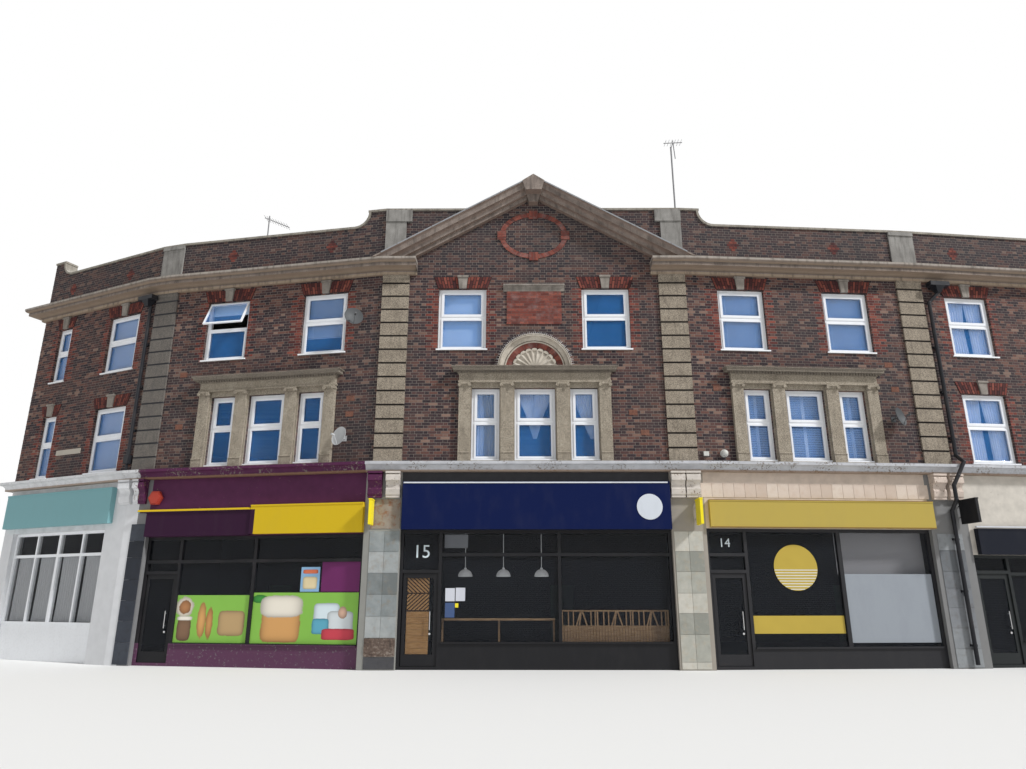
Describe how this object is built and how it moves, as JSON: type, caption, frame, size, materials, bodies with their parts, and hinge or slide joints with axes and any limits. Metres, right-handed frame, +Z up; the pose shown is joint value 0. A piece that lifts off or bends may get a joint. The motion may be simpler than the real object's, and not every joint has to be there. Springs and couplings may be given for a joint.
{
  "type": "corner shop building",
  "caption": "Curved corner terrace of shops with brick flats above, stone quoins, a gabled centre and a parapet.",
  "frame": {"origin": "ground level, halfway between the middle of the centre front and the rear wall", "axes": "+X to the right along the centre front, +Y into the building, +Z up"},
  "size_m": [32.329, 11.5604, 14.9209],
  "materials": {
    "aerial_metal": "dull",
    "bench_timber": "oiled timber",
    "black_frame": "satin black",
    "console_stone": "painted stone",
    "coping_stone": "weathered stone",
    "dark_frame": "satin dark",
    "dish_metal": "faded grey paint",
    "door_timber": "oiled timber",
    "dressed_stone": "weathered stone",
    "fitting_paint": "painted steel",
    "floor_timber": "bare boards",
    "grey_frame": "satin grey",
    "lamp_enamel": "white enamel",
    "ledge_paint": "chipped paint on stone",
    "pier_facing": "tile and render",
    "pipe_metal": "gloss black paint",
    "quoin_stone": "pebbly cast stone",
    "red_brick": "red brick",
    "render": "painted render",
    "roofing": "mineral felt",
    "screed": "worn concrete",
    "sign_board": "painted board",
    "stock_brick": "weathered stock brick",
    "white_frame": "smooth white",
    "window_glass": "clear glass"
  },
  "bodies": {
    "building": {"ground_floor": "screed", "first_floor": "floor_timber", "second_floor": "floor_timber", "roof_deck": "roofing", "wing_wall_left": "stock_brick", "bay_wall_left": "stock_brick", "centre_wall": "stock_brick", "bay_wall_right": "stock_brick", "wing_wall_right": "stock_brick", "end_wall_left": "stock_brick", "end_wall_right": "stock_brick", "rear_wall": "stock_brick", "shop_piers": "pier_facing", "shop_beams": "render", "shop_ledge": "ledge_paint", "main_cornice": "dressed_stone", "pediment_cornice": "dressed_stone", "parapet_left": "stock_brick", "parapet_right": "stock_brick", "parapet_ramps": "stock_brick", "parapet_copings": "coping_stone", "parapet_piers": "render", "quoins": "quoin_stone", "window_surrounds": "dressed_stone", "lunette": "dressed_stone", "brick_ornaments": "red_brick", "gauged_arches": "red_brick", "keystones": "dressed_stone", "first_floor_windows": "white_frame", "second_floor_windows": "white_frame", "first_floor_glass": "window_glass", "second_floor_glass": "window_glass", "rear_doors": "door_timber", "shopfront_1": "white_frame", "shopfront_2": "black_frame", "shopfront_3": "black_frame", "shopfront_4": "grey_frame", "shopfront_5": "dark_frame", "shop_glass": "window_glass", "shop_fascias": "sign_board", "consoles": "console_stone", "rain_pipes": "pipe_metal", "satellite_dishes": "dish_metal", "roof_aerials": "aerial_metal", "hanging_signs": "sign_board", "wall_fittings": "fitting_paint", "pendant_lamps": "lamp_enamel", "window_bench": "bench_timber"},
    "door_2_body": {"door_2": "black_frame", "door_glass_2": "window_glass"},
    "door_3_body": {"door_3": "door_timber", "door_glass_3": "window_glass"},
    "door_4_body": {"door_4": "grey_frame", "door_glass_4": "window_glass"},
    "door_5_body": {"door_5": "dark_frame", "door_glass_5": "window_glass"}
  },
  "joints": [
    {"name": "door_2_swing", "type": "hinge", "parent": "building", "child": "door_2_body", "pos_m": [-10.01911, -4.20253, 0.07], "axis": [0, 0, 1], "range_deg": [0, 90]},
    {"name": "door_3_swing", "type": "hinge", "parent": "building", "child": "door_3_body", "pos_m": [-3.227, -5.325, 0.07], "axis": [0, 0, 1], "range_deg": [0, 90]},
    {"name": "door_4_swing", "type": "hinge", "parent": "building", "child": "door_4_body", "pos_m": [4.27932, -5.31065, 0.07], "axis": [0, 0, 1], "range_deg": [0, 90]},
    {"name": "door_5_swing", "type": "hinge", "parent": "building", "child": "door_5_body", "pos_m": [11.02881, -4.76863, 0.07], "axis": [0, 0, 1], "range_deg": [0, 90]}
  ]
}
